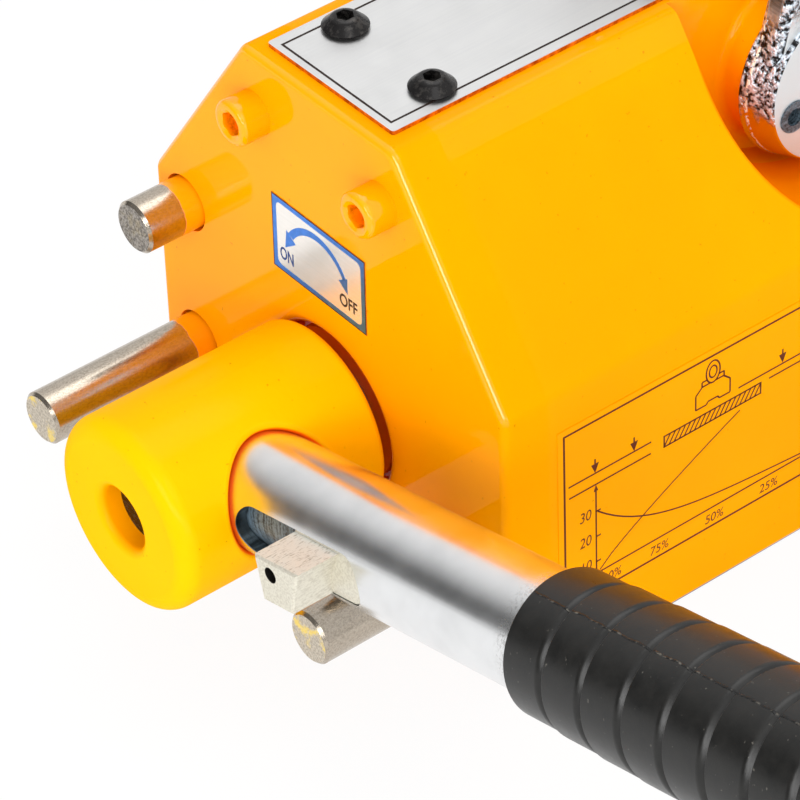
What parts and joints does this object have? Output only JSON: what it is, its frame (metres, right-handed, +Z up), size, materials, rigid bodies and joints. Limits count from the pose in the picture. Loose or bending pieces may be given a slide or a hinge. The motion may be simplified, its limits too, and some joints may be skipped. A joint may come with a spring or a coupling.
{
  "type": "permanent magnetic lifter",
  "caption": "Block-shaped lifting magnet with sloped shoulders, a swinging shackle, and a ringed side handle that turns an inner rotor between OFF and ON stop pins, with a sliding safety latch.",
  "frame": {"origin": "in the plane of the two pole faces, under the middle of the body", "axes": "+Z up, X along the body with the handle end at -X, -Y towards the side where the handle rests in OFF"},
  "size_m": [0.2961, 0.2907, 0.2061],
  "materials": {
    "yellow_enamel": "glossy orange-yellow enamel",
    "hub_enamel": "glossy yellow enamel, a little paler than the body",
    "zinc_plate": "turned and zinc plated",
    "chrome_plate": "bright plated",
    "bare_steel": "machined, bare",
    "black_screw": "black oxide",
    "bronze": "machined",
    "magnet": "nickel plated magnet",
    "black_rubber": "satin black, moulded rings",
    "plate_aluminium": "brushed, thin black border",
    "silver_foil": "printed silver foil",
    "chart_film": "clear printed film over the enamel"
  },
  "bodies": {
    "lifter_body": {"pole_near": "yellow_enamel", "pole_far": "yellow_enamel", "top_bridge": "yellow_enamel", "bottom_spacer": "bronze", "stator_magnet": "magnet", "front_cover": "yellow_enamel", "rear_cover": "yellow_enamel", "front_cover_screws": "yellow_enamel", "rear_cover_screws": "yellow_enamel", "front_bush": "bronze", "rear_bush": "bronze", "off_stop_pin": "zinc_plate", "on_stop_pin": "zinc_plate", "latch_pin": "zinc_plate", "rating_plate": "plate_aluminium", "plate_screws": "black_screw", "switch_label": "silver_foil", "chart_label": "chart_film"},
    "handle": {"rotor_pole_upper": "bare_steel", "rotor_pole_lower": "bare_steel", "rotor_magnet": "magnet", "rotor_spacers": "bronze", "front_journal": "bare_steel", "rear_journal": "bare_steel", "journal_screws": "bare_steel", "hub": "hub_enamel", "hub_key": "bare_steel", "hub_grub_screw": "bare_steel", "handle_tube": "chrome_plate", "grip": "black_rubber", "latch_spring": "bare_steel"},
    "latch": {"latch_block": "zinc_plate", "latch_slug": "zinc_plate"},
    "shackle": {"shackle": "chrome_plate", "shackle_pin": "chrome_plate", "shackle_roll_pin": "zinc_plate"}
  },
  "joints": [
    {"name": "handle_turn", "type": "hinge", "parent": "lifter_body", "child": "handle", "pos_m": [-0.1459, 0, 0.044], "axis": [-1, 0, 0], "range_deg": [0, 153.2]},
    {"name": "latch_slide", "type": "slide", "parent": "handle", "child": "latch", "axis": [0, 0.9728, -0.2316], "range_m": [0, 0.012], "stiffness_N_per_m": 300, "springref_m": -0.012, "deforming": ["latch_spring"]},
    {"name": "shackle_swing", "type": "hinge", "parent": "lifter_body", "child": "shackle", "pos_m": [0, 0, 0.1003], "axis": [0, 1, 0], "range_deg": [-40, 40]}
  ]
}
